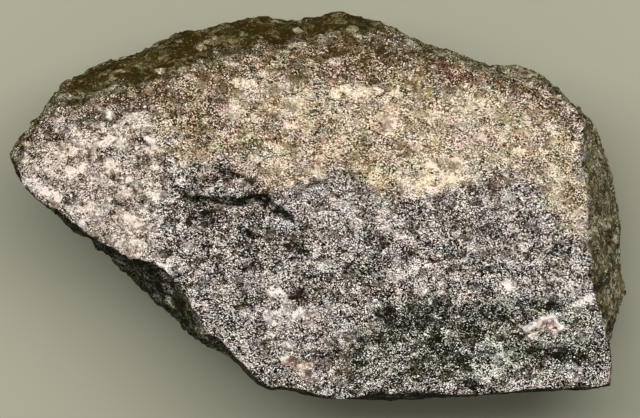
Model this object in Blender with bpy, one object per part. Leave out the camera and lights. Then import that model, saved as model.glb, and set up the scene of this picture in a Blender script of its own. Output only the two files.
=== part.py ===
# A broken lump of quartzite. It lies on its back with its broad broken face
# up, its weathered rim toward +Y and a small flat spot underneath.
# Lengths are named in millimetres and turned to metres at the end.
import math

import bmesh
import bpy
from mathutils import Vector, noise
from mathutils.geometry import delaunay_2d_cdt, intersect_line_line_2d

MM = 0.001

# Mesh spacing, in millimetres
OUTLINE_SPACING = 2.05
FACE_SPACING = 1.6
UNDERSIDE_SPACING = 3.2
SIDE_ROWS = 9
LOWER_ROWS = 6

# Parts of the spacing: how far a point strays from its place in the rows, and
# how clear it stays of a ring or a ledge
MESH_STRAY = 0.3
MESH_CLEARANCE = 0.62

# How far the sides swell between rings, as a part of the distance in plan
SIDE_BULGE = 0.2

# How near the widest line and the floor the surface stays as drawn, in
# millimetres, and the least height of what isn't the flat spot
OUTLINE_GRIP = 5.0
FLOOR_GRIP = 12.0
LEAST_HEIGHT = 0.05

# The widest line of the stone seen from above, clockwise from the tip of the
# nose: x, y and the height at which the stone is widest there
OUTLINE = [
    (-49.6, 8.6, 27.0), (-49.1, 9.9, 26.5), (-48.2, 11.4, 26.0), (-46.6, 13.0, 25.0),
    (-44.2, 16.0, 24.0), (-42.4, 18.7, 22.0), (-41.0, 20.6, 20.5), (-38.4, 21.9, 19.0),
    (-36.0, 23.0, 18.5), (-33.9, 24.1, 18.0), (-32.0, 24.7, 18.0), (-29.6, 25.0, 18.5),
    (-26.7, 26.6, 18.0), (-24.6, 27.7, 18.0), (-21.9, 28.4, 18.5), (-20.5, 29.0, 19.5),
    (-19.0, 28.6, 19.5), (-17.1, 29.9, 19.0), (-14.1, 30.1, 19.0), (-12.3, 30.7, 19.5),
    (-9.6, 31.2, 20.0), (-8.0, 30.6, 20.0), (-2.9, 30.3, 19.5), (-0.2, 31.2, 20.0),
    (2.9, 32.0, 21.0), (5.8, 31.4, 21.0), (7.5, 30.6, 20.5), (10.1, 29.8, 20.0),
    (13.3, 28.6, 20.5), (16.0, 26.9, 21.5), (19.2, 26.2, 22.0), (21.6, 25.2, 22.0),
    (24.0, 24.7, 21.5), (26.7, 23.3, 21.5), (28.8, 22.8, 22.0), (32.5, 23.2, 22.5),
    (34.7, 22.2, 23.0), (37.1, 20.2, 23.0), (40.0, 17.7, 23.0), (42.4, 15.8, 22.0),
    (43.7, 14.6, 20.0), (45.3, 10.9, 17.0), (46.6, 6.2, 15.5), (47.2, 3.7, 15.0),
    (48.5, -1.9, 14.0), (48.6, -5.8, 13.5), (48.6, -11.8, 14.0), (48.9, -13.4, 15.0),
    (48.3, -15.7, 16.0), (46.7, -19.8, 18.5), (46.1, -21.4, 20.0), (46.9, -24.2, 21.0),
    (46.6, -26.9, 22.5), (46.5, -28.4, 23.0), (43.2, -28.8, 22.0), (38.4, -29.0, 21.0),
    (35.2, -29.4, 20.0), (28.8, -29.6, 19.0), (22.4, -30.2, 18.0), (16.0, -30.7, 17.5),
    (12.8, -30.9, 17.5), (5.6, -30.5, 18.5), (0.3, -30.5, 20.0), (-3.5, -29.4, 21.5),
    (-6.2, -28.8, 22.5), (-8.0, -29.1, 22.0), (-10.1, -28.2, 21.0), (-12.5, -25.4, 19.0),
    (-14.9, -23.2, 18.0), (-17.9, -22.0, 17.0), (-20.6, -20.0, 16.5), (-23.5, -17.1, 16.0),
    (-27.2, -14.4, 16.0), (-29.8, -11.5, 16.5), (-32.6, -9.3, 17.0), (-33.6, -7.7, 17.5),
    (-35.8, -5.9, 18.5), (-36.8, -4.5, 19.0), (-40.0, -2.6, 20.5), (-43.2, 0.3, 22.5),
    (-45.8, 1.9, 24.0), (-47.7, 4.3, 25.5), (-48.8, 6.6, 26.5),
]

# The edge of the broken face, clockwise from the tip of the nose
BROW = [
    (-49.0, 8.5), (-48.0, 10.6), (-46.2, 12.5), (-44.5, 14.6), (-42.0, 16.4),
    (-39.2, 16.8), (-35.2, 16.8), (-30.4, 17.1), (-26.9, 18.1), (-23.7, 20.6),
    (-20.0, 23.2), (-14.4, 24.5), (-8.0, 24.8), (-1.6, 25.1), (4.8, 25.4),
    (10.4, 25.1), (15.2, 24.3), (19.2, 23.5), (24.0, 21.9), (28.8, 20.6),
    (33.6, 19.7), (37.8, 17.9), (41.8, 15.4), (42.0, 13.4), (41.8, 8.2),
    (42.4, 5.0), (42.6, 1.1), (42.7, -5.8), (43.2, -9.8), (44.2, -14.1),
    (45.4, -19.0), (45.7, -21.1), (46.5, -23.5), (46.2, -26.7), (46.0, -28.0),
    (43.2, -28.4), (38.4, -28.5), (32.8, -28.8), (27.2, -29.0), (19.2, -29.4),
    (12.8, -29.7), (8.8, -29.9), (4.0, -30.0), (0.3, -29.8), (-3.2, -29.1),
    (-6.2, -28.5), (-8.3, -28.4), (-9.7, -27.2), (-12.0, -25.0), (-13.9, -22.2),
    (-15.7, -20.6), (-18.1, -19.5), (-19.0, -17.1), (-20.8, -14.6), (-22.7, -12.0),
    (-25.3, -9.4), (-26.9, -8.3), (-31.2, -7.7), (-33.6, -6.1), (-36.0, -4.3),
    (-38.4, -2.7), (-41.9, -0.2), (-45.1, 2.1), (-47.4, 4.7), (-48.4, 6.6),
]

# The turn from the sides to the underside, clockwise from the nose
UNDER_EDGE = [
    (-43.5, 7.0), (-39.5, 14.5), (-30.0, 19.5), (-14.0, 25.5), (2.0, 27.0),
    (14.0, 23.0), (27.0, 19.0), (37.0, 14.0), (42.0, 4.0), (44.5, -8.0),
    (43.5, -18.0), (41.0, -24.0), (28.0, -26.5), (10.0, -27.0), (-5.0, -25.0),
    (-13.0, -19.5), (-26.0, -9.5), (-37.0, 0.5),
]

# The small flat spot the stone rests on, clockwise: each corner, then how
# steeply the underside climbs away from the edge that starts there
FLAT_SPOT = [
    (-11.0, 2.0, 0.62), (-4.5, 9.0, 0.34), (9.0, 10.0, 0.62), (19.5, 5.0, 0.24),
    (22.0, -4.5, 0.42), (15.0, -11.5, 0.20), (1.0, -12.5, 0.46), (-8.0, -9.0, 0.38),
]

# Planes that the broken face is made of: a point on it, then how much it
# climbs toward +X and toward +Y
FACE_PLANES = [
    ((20.0, -12.0, 37.6), 0.020, -0.010),
    ((0.0, 4.0, 37.0), 0.030, -0.300),
    ((-24.0, 4.0, 36.6), 0.200, -0.060),
    ((-20.0, -16.0, 36.2), 0.120, 0.110),
    ((44.0, 0.0, 37.6), -0.350, 0.0),
    ((20.0, -27.5, 37.2), 0.0, 0.350),
]
PLANE_BLEND = 0.9

# Ledges on the face, each a line with its low side toward -Y: the line's
# points, the drop, the width of the riser, and how far the hollow reaches
LEDGES = [
    (
        [(-22.7, 2.6), (-20.3, 2.0), (-16.8, 2.1), (-12.8, 1.6), (-9.3, 2.4),
         (-6.7, 0.5), (-4.3, -1.1), (-3.0, -2.6)],
        1.3, 0.5, 4.5,
    ),
    ([(-23.0, 6.2), (-20.0, 7.4), (-16.8, 7.0), (-12.0, 5.4), (-9.0, 3.4)], 0.7, 1.0, 3.5),
    ([(-3.6, 2.6), (-1.6, 3.5), (1.6, 5.8), (4.0, 6.1), (7.2, 4.8)], 0.9, 0.7, 3.5),
    ([(12.0, 1.4), (17.0, 1.9), (22.1, 3.5), (27.2, 6.2), (33.6, 5.9)], 0.35, 2.0, 3.0),
    (
        [(10.0, -15.0), (17.6, -14.2), (22.4, -14.8), (27.2, -14.6), (31.2, -13.8),
         (36.0, -14.2), (41.5, -14.8)],
        1.7, 4.2, 3.6,
    ),
    ([(27.5, -22.4), (33.6, -21.2), (38.4, -20.8), (44.0, -21.9)], 1.2, 1.9, 3.4),
    ([(-6.0, -23.4), (-3.2, -23.9), (0.6, -22.9), (4.2, -22.0)], 0.7, 0.9, 3.0),
]

# Low lumps (+) and hollows (-) on the face: middle, half length, half width,
# turn in degrees and height
FACE_LUMPS = [
    ((-31.0, 9.0), 9.0, 6.0, 10.0, 0.7),
    ((-40.5, 9.5), 3.6, 2.2, 20.0, -0.6),
    ((-22.5, 12.5), 5.0, 3.0, -20.0, -0.7),
    ((-12.0, 15.0), 6.0, 3.0, 0.0, 0.6),
    ((-6.0, -17.5), 3.2, 1.8, -50.0, 0.8),
    ((36.9, -18.4), 3.0, 1.4, 25.0, 1.5),
    ((24.5, -18.8), 5.0, 1.8, 0.0, -0.9),
    ((-12.0, -3.0), 8.0, 4.5, -15.0, -0.9),
    ((8.0, -8.0), 7.0, 4.0, 30.0, 0.6),
    ((2.0, 11.0), 7.0, 3.0, -8.0, -0.5),
    ((25.0, 11.0), 8.0, 3.5, 5.0, 0.5),
    ((12.0, -24.5), 6.0, 2.5, 5.0, 0.6),
]

# Flat breaks under the widest line: a point and the way each faces
BREAKS = [
    ((48.6, -6.0, 12.5), (0.93, 0.0, -0.36)),
    ((46.6, 6.2, 15.0), (0.94, 0.22, -0.25)),
    ((42.4, 15.8, 20.0), (0.72, 0.52, -0.46)),
    ((24.0, 24.7, 20.5), (0.36, 0.86, -0.37)),
    ((2.9, 32.0, 20.0), (0.0, 0.90, -0.43)),
    ((-12.3, 30.7, 18.5), (-0.18, 0.88, -0.45)),
    ((-33.9, 24.1, 17.0), (-0.44, 0.74, -0.50)),
    ((-46.6, 13.0, 24.0), (-0.70, 0.50, -0.50)),
    ((-47.7, 4.3, 24.5), (-0.65, -0.56, -0.52)),
    ((-36.8, -4.5, 18.0), (-0.60, -0.68, -0.42)),
    ((-23.5, -17.1, 15.0), (-0.58, -0.73, -0.36)),
    ((-10.1, -28.2, 20.0), (-0.44, -0.84, -0.32)),
    ((12.8, -30.9, 16.5), (0.0, -0.95, -0.31)),
    ((35.2, -29.4, 19.0), (0.07, -0.93, -0.35)),
    ((46.6, -26.9, 21.5), (0.66, -0.62, -0.42)),
]

# Fractal roughness: how high it is, and the size of its largest bumps
FACE_ROUGHNESS = 0.6
FACE_BUMP_SIZE = 6.0
SIDE_ROUGHNESS = 1.2
SIDE_BUMP_SIZE = 12.0
NOISE_OCTAVES = 5

# Chipping: the size of the small flat scars and how much they lean, the part
# of their size that their rims take, and how far the rims wander
FACE_CHIP_SIZE = 6.5
FACE_CHIP_LEAN = 0.24
SIDE_CHIP_SIZE = 13.0
SIDE_CHIP_LEAN = 0.36
CHIP_RIM = 0.12
CHIP_WARP = 1.2
CHIP_WARP_LENGTH = 5.0

# How far the lines of the ledges wander, and over what length. Mesh edges
# follow the lip and the foot of a riser that is narrower than SHARP_RISER.
LEDGE_WANDER = 1.2
LEDGE_WANDER_LENGTH = 3.5
SHARP_RISER = 1.1
GUIDE_MARGIN = 0.12

# Colour of the stone as a whole, with its roughness
STONE_COLOUR = (0.27, 0.22, 0.17, 1.0)
STONE_ROUGHNESS = 0.85


def clear_scene():
    for item in list(bpy.data.objects):
        bpy.data.objects.remove(item, do_unlink=True)


def smooth_rise(value):
    value = min(max(value, 0.0), 1.0)
    return value * value * (3.0 - 2.0 * value)


def smooth_lowest(values, blend):
    # The lowest of the values, with the joins between them rounded
    least = min(values)
    total = sum(math.exp((least - value) / blend) for value in values)
    return least - blend * math.log(total)


def lengths_along(line):
    # The distance from the start of a line, in plan, at each of its points
    lengths = [0.0]
    for start, end in zip(line, line[1:]):
        lengths.append(lengths[-1] + math.dist(start[:2], end[:2]))
    return lengths


def points_along(line, spacing):
    # Evenly spaced points along a line in plan, with its ends
    lengths = lengths_along(line)
    count = max(round(lengths[-1] / spacing), 1)
    points = []
    for step in range(count + 1):
        wanted = lengths[-1] * step / count
        index = max(i for i, length in enumerate(lengths[:-1]) if length <= wanted)
        share = (wanted - lengths[index]) / (lengths[index + 1] - lengths[index])
        start = Vector(line[index][:2])
        points.append(start.lerp(Vector(line[index + 1][:2]), share))
    return points


def ray_meets_ring(angle, ring):
    # Where a level ray from the middle of the stone crosses a ring
    reach = 200.0
    ray_end = Vector((math.cos(angle) * reach, math.sin(angle) * reach))
    middle = Vector((0.0, 0.0))
    for start, end in zip(ring, ring[1:] + ring[:1]):
        a = Vector(start[:2])
        b = Vector(end[:2])
        hit = intersect_line_line_2d(middle, ray_end, a, b)
        if hit is not None:
            share = (hit - a).length / (b - a).length
            return [p + (q - p) * share for p, q in zip(start, end)]
    raise ValueError("the ring does not go round the middle of the stone")


def outline_stations():
    # Angles round the stone, evenly spaced along the outline
    points = points_along(OUTLINE + OUTLINE[:1], OUTLINE_SPACING)
    return [math.atan2(point.y, point.x) for point in points[:-1]]


def nearest_on_line(x, y, line):
    # Distance below the line (+ is its low side) and the share of its length
    lengths = lengths_along(line)
    best = None
    for index in range(len(line) - 1):
        ax, ay = line[index]
        bx, by = line[index + 1]
        dx = bx - ax
        dy = by - ay
        square = dx * dx + dy * dy
        share = min(max(((x - ax) * dx + (y - ay) * dy) / square, 0.0), 1.0)
        gap_x = x - (ax + dx * share)
        gap_y = y - (ay + dy * share)
        gap = math.hypot(gap_x, gap_y)
        if best is None or gap < best[0]:
            side = 1.0 if gap_x * dy - gap_y * dx > 0.0 else -1.0
            along = (lengths[index] + share * math.sqrt(square)) / lengths[-1]
            best = (gap, side * gap, along)
    return best[1], best[2]


def ledge_stray(x, y):
    return noise.noise_vector(Vector((x, y, 0.0)) / LEDGE_WANDER_LENGTH) * LEDGE_WANDER


def ledge_drop(x, y, ledge):
    line, drop, riser, reach = ledge
    below, along = nearest_on_line(x, y, line)
    if below <= 0.0:
        return 0.0
    ends = smooth_rise(min(along, 1.0 - along) * 5.0)
    fade = math.exp(-((max(below - riser, 0.0) / reach) ** 2))
    return drop * ends * smooth_rise(below / riser) * fade


def lump_height(x, y, lump):
    (middle_x, middle_y), half_length, half_width, turn, height = lump
    angle = math.radians(turn)
    dx = x - middle_x
    dy = y - middle_y
    u = (dx * math.cos(angle) + dy * math.sin(angle)) / half_length
    v = (dy * math.cos(angle) - dx * math.sin(angle)) / half_width
    return height * math.exp(-(u * u + v * v))


def face_height(x, y):
    planes = []
    for (px, py, pz), climb_x, climb_y in FACE_PLANES:
        planes.append(pz + (x - px) * climb_x + (y - py) * climb_y)
    height = smooth_lowest(planes, PLANE_BLEND)
    height += sum(lump_height(x, y, lump) for lump in FACE_LUMPS)
    stray = ledge_stray(x, y)
    height -= sum(ledge_drop(x + stray.x, y + stray.y, ledge) for ledge in LEDGES)
    return height


def ledge_guides():
    # Lines along the lip and the foot of each sharp ledge
    guides = []
    for line, _, riser, _ in LEDGES:
        if riser > SHARP_RISER:
            continue
        points = points_along(line, FACE_SPACING)
        for offset in (-GUIDE_MARGIN, riser + GUIDE_MARGIN):
            guide = []
            for index, point in enumerate(points):
                run = points[min(index + 1, len(points) - 1)] - points[max(index - 1, 0)]
                run.normalize()
                spot = point + Vector((run.y, -run.x)) * offset
                stray = ledge_stray(spot.x, spot.y)
                guide.append((spot.x - stray.x, spot.y - stray.y))
            guides.append(guide)
    return guides


def inside_ring(x, y, ring):
    inside = False
    for start, end in zip(ring, ring[1:] + ring[:1]):
        if (start[1] > y) != (end[1] > y):
            cross = start[0] + (y - start[1]) / (end[1] - start[1]) * (end[0] - start[0])
            if x < cross:
                inside = not inside
    return inside


def honeycomb_points(ring, spacing, keep_clear):
    # Points in staggered rows inside a ring, clear of the points already set
    low_x = min(point[0] for point in ring)
    high_x = max(point[0] for point in ring)
    low_y = min(point[1] for point in ring)
    high_y = max(point[1] for point in ring)
    row_gap = spacing * math.sqrt(0.75)
    points = []
    for row in range(int((high_y - low_y) / row_gap) + 1):
        y = low_y + (row + 0.5) * row_gap
        shift = 0.5 if row % 2 else 0.0
        for column in range(int((high_x - low_x) / spacing) + 1):
            x = low_x + (column + shift) * spacing
            stray = noise.noise_vector(Vector((x, y, spacing))) * spacing * MESH_STRAY
            spot = (x + stray.x, y + stray.y)
            if not inside_ring(spot[0], spot[1], ring):
                continue
            if min(math.dist(spot, other) for other in keep_clear) < spacing * MESH_CLEARANCE:
                continue
            points.append(spot)
    return points


def fill_ring(ring, guides, spacing):
    # Triangles that fill a ring. The ring's own points come first.
    ring = [tuple(point[:2]) for point in ring]
    points = list(ring)
    edges = [(i, (i + 1) % len(ring)) for i in range(len(ring))]
    for guide in guides:
        inner = [point for point in guide if inside_ring(point[0], point[1], ring)]
        first = len(points)
        points += inner
        edges += [(first + i, first + i + 1) for i in range(len(inner) - 1)]
    points += honeycomb_points(ring, spacing, points)
    vertices, _, triangles, originals, _, _ = delaunay_2d_cdt(
        [Vector(point) for point in points],
        edges,
        [list(range(len(ring)))],
        1,
        1e-5,
    )
    return vertices, triangles, originals


def loft_row(high, low, share, bulge):
    # A row of points between two rings, pushed outward in the middle by a
    # part of the level distance between them
    row = []
    for top, bottom in zip(high, low):
        point = Vector(top).lerp(Vector(bottom), share)
        level = Vector((point.x, point.y, 0.0)).normalized()
        push = bulge * math.dist(top[:2], bottom[:2]) * math.sin(math.pi * share)
        row.append(point + level * push)
    return row


def add_loft(mesh, high_ring, rows):
    # Triangles between rings of vertices that run the same way round
    rings = [high_ring]
    for row in rows:
        rings.append([mesh.verts.new(point) for point in row])
    for level, (upper, lower) in enumerate(zip(rings, rings[1:])):
        count = len(upper)
        for i in range(count):
            j = (i + 1) % count
            if (i + level) % 2:
                mesh.faces.new((upper[i], lower[i], lower[j]))
                mesh.faces.new((upper[i], lower[j], upper[j]))
            else:
                mesh.faces.new((upper[i], lower[i], upper[j]))
                mesh.faces.new((upper[j], lower[i], lower[j]))
    return rings


def add_filling(mesh, ring, ring_points, guides, spacing, height_at):
    # A filled ring, welded to the vertices that the ring already has
    vertices, triangles, originals = fill_ring(ring_points, guides, spacing)
    made = []
    for spot, sources in zip(vertices, originals):
        on_ring = [source for source in sources if source < len(ring)]
        if on_ring:
            made.append(ring[on_ring[0]])
        else:
            made.append(mesh.verts.new((spot.x, spot.y, height_at(spot.x, spot.y))))
    for triangle in triangles:
        mesh.faces.new([made[index] for index in triangle])


def underside_height(x, y):
    # Flat facets that climb from the edges of the flat spot
    height = 0.0
    for start, end in zip(FLAT_SPOT, FLAT_SPOT[1:] + FLAT_SPOT[:1]):
        along = Vector((end[0] - start[0], end[1] - start[1])).normalized()
        outward = along.x * (y - start[1]) - along.y * (x - start[0])
        height = max(height, outward * start[2])
    return height


def freedom(place):
    # 0 on the widest line, which keeps its outline, and 1 well away from it
    edge = ray_meets_ring(math.atan2(place.y, place.x), OUTLINE)
    away = math.dist(edge, place)
    return smooth_rise(away / OUTLINE_GRIP)


def cut_breaks(mesh):
    for vertex in mesh.verts:
        if vertex.co.z == 0.0:
            continue
        share = freedom(vertex.co)
        for point, facing in BREAKS:
            direction = Vector(facing).normalized()
            proud = (vertex.co - Vector(point)).dot(direction)
            if proud > 0.0:
                vertex.co -= direction * proud * share
        vertex.co.z = max(vertex.co.z, LEAST_HEIGHT)


def chipped(place, size, lean):
    # Small flat scars that lean this way and that, level with each other at
    # their rims
    spot = place / size
    gaps, middles = noise.voronoi(spot)
    slope = noise.noise_vector(middles[0] * size)
    edge = smooth_rise((gaps[1] - gaps[0]) / CHIP_RIM)
    return (spot - middles[0]).dot(slope) * lean * size * edge


def bumpy(place, size, height):
    return noise.fractal(place / size, 0.85, 2.1, NOISE_OCTAVES) * height


def rough_height(place, upward):
    # Coarse on the weathered sides, fine where the stone broke last
    spot = place + noise.noise_vector(place / CHIP_WARP_LENGTH) * CHIP_WARP
    side = bumpy(place, SIDE_BUMP_SIZE, SIDE_ROUGHNESS)
    side += chipped(spot, SIDE_CHIP_SIZE, SIDE_CHIP_LEAN)
    face = bumpy(place, FACE_BUMP_SIZE, FACE_ROUGHNESS)
    face += chipped(spot, FACE_CHIP_SIZE, FACE_CHIP_LEAN)
    return side * (1.0 - upward) + face * upward


def roughen(mesh):
    # Roughness fades out at the floor and at the widest line, and nothing may
    # reach past that line
    mesh.normal_update()
    moves = []
    for vertex in mesh.verts:
        upward = smooth_rise((vertex.normal.z - 0.35) / 0.5)
        share = freedom(vertex.co) * smooth_rise(vertex.co.z / FLOOR_GRIP)
        moves.append(vertex.normal * rough_height(vertex.co, upward) * share)
    for vertex, move in zip(mesh.verts, moves):
        if vertex.co.z == 0.0:
            continue
        vertex.co += move
        vertex.co.z = max(vertex.co.z, LEAST_HEIGHT)
        edge_x, edge_y, _ = ray_meets_ring(math.atan2(vertex.co.y, vertex.co.x), OUTLINE)
        reach = math.hypot(vertex.co.x, vertex.co.y)
        pull = min(math.hypot(edge_x, edge_y) / reach, 1.0)
        vertex.co.x *= pull
        vertex.co.y *= pull


def stand_over_origin(mesh):
    # The middle of the outline goes over the origin
    low_x = min(vertex.co.x for vertex in mesh.verts)
    high_x = max(vertex.co.x for vertex in mesh.verts)
    low_y = min(vertex.co.y for vertex in mesh.verts)
    high_y = max(vertex.co.y for vertex in mesh.verts)
    middle = Vector(((low_x + high_x) / 2.0, (low_y + high_y) / 2.0, 0.0))
    for vertex in mesh.verts:
        vertex.co = (vertex.co - middle) * MM


def stone_mesh():
    angles = outline_stations()
    outline = [ray_meets_ring(angle, OUTLINE) for angle in angles]
    brow = []
    for angle in angles:
        x, y = ray_meets_ring(angle, BROW)
        brow.append((x, y, face_height(x, y)))
    under_edge = []
    for angle in angles:
        x, y = ray_meets_ring(angle, UNDER_EDGE)
        under_edge.append((x, y, underside_height(x, y)))
    mesh = bmesh.new()
    brow_ring = [mesh.verts.new(point) for point in brow]
    add_filling(mesh, brow_ring, brow, ledge_guides(), FACE_SPACING, face_height)
    upper_rows = [
        loft_row(brow, outline, step / SIDE_ROWS, SIDE_BULGE)
        for step in range(1, SIDE_ROWS + 1)
    ]
    lower_rows = [
        loft_row(outline, under_edge, step / LOWER_ROWS, SIDE_BULGE)
        for step in range(1, LOWER_ROWS + 1)
    ]
    rings = add_loft(mesh, brow_ring, upper_rows + lower_rows)
    edge_points = [tuple(point) for point in lower_rows[-1]]
    spot = [corner[:2] for corner in FLAT_SPOT]
    add_filling(
        mesh, rings[-1], edge_points, [spot + spot[:1]], UNDERSIDE_SPACING, underside_height
    )
    bmesh.ops.recalc_face_normals(mesh, faces=mesh.faces)
    cut_breaks(mesh)
    roughen(mesh)
    stand_over_origin(mesh)
    bmesh.ops.recalc_face_normals(mesh, faces=mesh.faces)
    return mesh


def stone_material():
    material = bpy.data.materials.new("Quartzite")
    material.use_nodes = True
    shader = material.node_tree.nodes["Principled BSDF"]
    shader.inputs["Base Color"].default_value = STONE_COLOUR
    shader.inputs["Roughness"].default_value = STONE_ROUGHNESS
    shader.inputs["Metallic"].default_value = 0.0
    return material


def build_stone():
    mesh = stone_mesh()
    data = bpy.data.meshes.new("stone")
    mesh.to_mesh(data)
    mesh.free()
    stone = bpy.data.objects.new("stone", data)
    stone.data.materials.append(stone_material())
    bpy.context.scene.collection.objects.link(stone)
    return stone


clear_scene()
build_stone()
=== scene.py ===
import functools
import itertools
import math

import bmesh
import bpy
import numpy as np
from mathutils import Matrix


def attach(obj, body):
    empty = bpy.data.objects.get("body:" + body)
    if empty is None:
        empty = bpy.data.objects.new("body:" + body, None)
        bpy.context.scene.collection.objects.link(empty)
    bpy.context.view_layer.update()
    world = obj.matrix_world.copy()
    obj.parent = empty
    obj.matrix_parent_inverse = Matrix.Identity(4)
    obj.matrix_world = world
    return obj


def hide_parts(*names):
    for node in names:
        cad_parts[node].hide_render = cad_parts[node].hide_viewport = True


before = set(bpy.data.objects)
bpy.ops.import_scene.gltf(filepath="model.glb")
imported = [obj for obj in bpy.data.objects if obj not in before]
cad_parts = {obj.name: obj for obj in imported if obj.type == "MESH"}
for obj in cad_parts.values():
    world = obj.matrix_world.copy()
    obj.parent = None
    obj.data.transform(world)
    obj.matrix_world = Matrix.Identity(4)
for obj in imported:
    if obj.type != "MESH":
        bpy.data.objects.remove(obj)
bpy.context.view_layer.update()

# A broken piece of quartzite that rests on its small flat spot and is seen from straight above.
# The imported solid gives its form; here it gets its cracks, chips, grains, stains, painted shade and light.
# The tables are in millimetres.

bl_info = {
    "name": "Quartzite hand specimen",
    "version": (1, 0, 0),
    "blender": (4, 5, 0),
    "location": "3D View > Sidebar > Quartzite",
    "description": "Dresses a solid of a broken quartzite stone with fracture relief, sand grains and stains",
    "category": "Add Mesh",
}

MM = 0.001
MATH = "ShaderNodeMath"
VECTOR = "ShaderNodeVectorMath"

# The inner and outer share of a broad soft oval, for spots().
BROAD = (0.3, 1.5)

# What carve() writes on the mesh and the stone's material reads.
MARKS = ("limonite", "milky", "haze_and_shade", "olive_and_shade", "chlorite", "rind_and_shade", "iron", "painted_shade", "calm", "tone",
         "red", "yellow")

# The broken face is measured from its own middle, which lies here in the frame.
FACE_MIDDLE = np.array([0.44, -0.50])

# Where the yellow stain of iron hydroxide has soaked into the upper half of the face.
LIMONITE_EDGE = (
    (-27.2, 16.8), (-23.2, 19.8), (-19.2, 22.9), (-11.2, 24.2), (4.8, 24.8), (17.6, 23.5),
    (25.6, 21.3), (33.6, 19.4), (38.4, 17.4), (42.1, 15.0), (42.1, 7.8), (42.6, 1.4),
    (42.7, -4.2), (41.3, -4.6), (38.4, -2.1), (36.3, 0.6), (34.9, 3.8), (33.3, 5.9),
    (29.6, 6.6), (26.4, 6.2), (24.0, 4.6), (22.1, 3.0), (19.2, 1.6), (16.0, 1.0),
    (12.0, 0.6), (8.8, 2.2), (6.7, 4.6), (4.0, 5.9), (0.8, 5.3), (-1.6, 3.4),
    (-4.5, 2.7), (-9.3, 3.0), (-12.0, 4.6), (-15.2, 6.6), (-20.0, 7.4), (-22.4, 7.8),
    (-24.8, 9.4), (-25.9, 12.6),
)
# The left end, where more of the grains are milky.
MILKY_EDGE = (
    (-49.6, 8.6), (-48.0, 11.0), (-44.8, 14.2), (-41.6, 16.5), (-35.2, 16.8), (-27.2, 16.8),
    (-25.9, 12.6), (-24.8, 9.4), (-23.2, 6.2), (-24.3, 3.0), (-26.4, 0.6), (-27.2, -2.6),
    (-25.9, -8.5), (-31.2, -7.7), (-33.6, -6.1), (-38.4, -2.7), (-45.1, 2.1), (-47.7, 4.5),
)
# A grey brown weathering tint over the upper left and top of the stained ground, also darker as painted shade
# where the face slopes down towards the rim.
HAZE_AND_SHADE_EDGE = (
    (-44.0, 13.9), (-38.0, 18.6), (-30.0, 22.0), (-19.5, 25.5), (-8.0, 28.5), (6.0, 29.5), (16.0, 25.8),
    (26.0, 23.0), (34.0, 21.0), (41.0, 17.0), (38.0, 16.2), (30.0, 18.2), (22.0, 19.4),
    (14.0, 20.4), (4.0, 19.6), (-2.0, 21.6), (-8.0, 22.0), (-13.0, 19.4), (-15.0, 17.0),
    (-16.4, 13.4), (-19.0, 10.4), (-22.6, 10.8), (-25.0, 15.0), (-31.0, 17.2), (-38.0, 15.4),
)
# The dark olive skin on the steep upper left rim, darkened also as painted shade of the rim that slopes away.
OLIVE_AND_SHADE_EDGE = (
    (-44.5, 15.5), (-38.0, 22.5), (-28.0, 27.5), (-18.0, 32.0), (0.0, 34.0), (7.0, 33.0),
    (11.0, 28.6), (4.0, 26.8), (-4.0, 26.4), (-12.0, 25.0), (-20.0, 23.4), (-27.0, 20.6),
    (-34.0, 18.4), (-40.0, 16.6),
)
# The low ground at the lower right, grey green with chlorite.
CHLORITE_EDGE = (
    (8.0, -14.9), (16.0, -14.1), (22.4, -15.0), (32.0, -13.9), (38.4, -14.2), (43.2, -15.0),
    (44.8, -19.4), (45.8, -22.2), (45.4, -25.4), (38.4, -25.4), (32.0, -26.1), (25.6, -28.2),
    (16.0, -28.6), (6.4, -28.6), (2.4, -26.6), (1.6, -22.6), (4.8, -20.2), (8.8, -18.6),
)

# Open cracks and the risers of ledges, drawn from left to right with the low ground below:
# points, deepest drop, how far below the line the ground climbs back, and the strength of the painted shade
# in the crack.
CRACKS = (
    (((-22.7, 2.6), (-20.3, 2.0), (-16.8, 2.1), (-12.8, 1.6), (-11.2, 2.1), (-9.3, 2.4), (-8.0, 1.8),
      (-6.7, 0.5), (-5.3, -0.2), (-4.3, -1.1), (-3.5, -1.9)), 0.7, 2.4, 2.1),
    (((-22.4, 7.0), (-19.8, 7.3), (-16.8, 7.0), (-13.8, 6.0), (-11.2, 5.0), (-9.3, 3.0)), 0.45, 1.8, 0.4),
    (((-3.2, 3.0), (-1.6, 3.5), (0.3, 4.6), (1.6, 5.8), (4.0, 6.1), (6.7, 5.0)), 0.5, 1.6, 0.35),
    (((13.6, 5.6), (14.7, 5.9), (17.9, 5.3), (20.8, 4.6)), 0.3, 0.7, 0.5),
    (((-12.8, -3.0), (-11.2, -3.7), (-9.3, -4.3)), 0.35, 0.6, 0.8),
    (((-3.8, -6.6), (-2.2, -6.9)), 0.4, 0.6, 1.6),
    (((-25.1, 11.2), (-24.0, 11.4), (-22.7, 12.0)), 0.3, 0.5, 0.8),
    (((12.8, -14.6), (17.6, -14.4), (24.0, -14.9), (30.4, -14.4), (36.0, -14.0), (41.0, -14.6),
      (43.2, -15.0)), 0.35, 2.4, 0.25),
    (((31.2, -14.9), (34.4, -14.6), (38.4, -15.4)), 0.3, 1.0, 0.7),
    (((34.4, -21.9), (38.4, -22.2), (41.6, -23.4), (45.4, -24.2)), 0.4, 1.4, 0.5),
    (((15.5, -17.8), (16.2, -18.7), (16.9, -19.6)), 0.35, 0.7, 1.3),
    (((0.4, -20.8), (2.2, -21.6), (4.0, -22.6)), 0.3, 0.7, 0.8),
)
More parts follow.
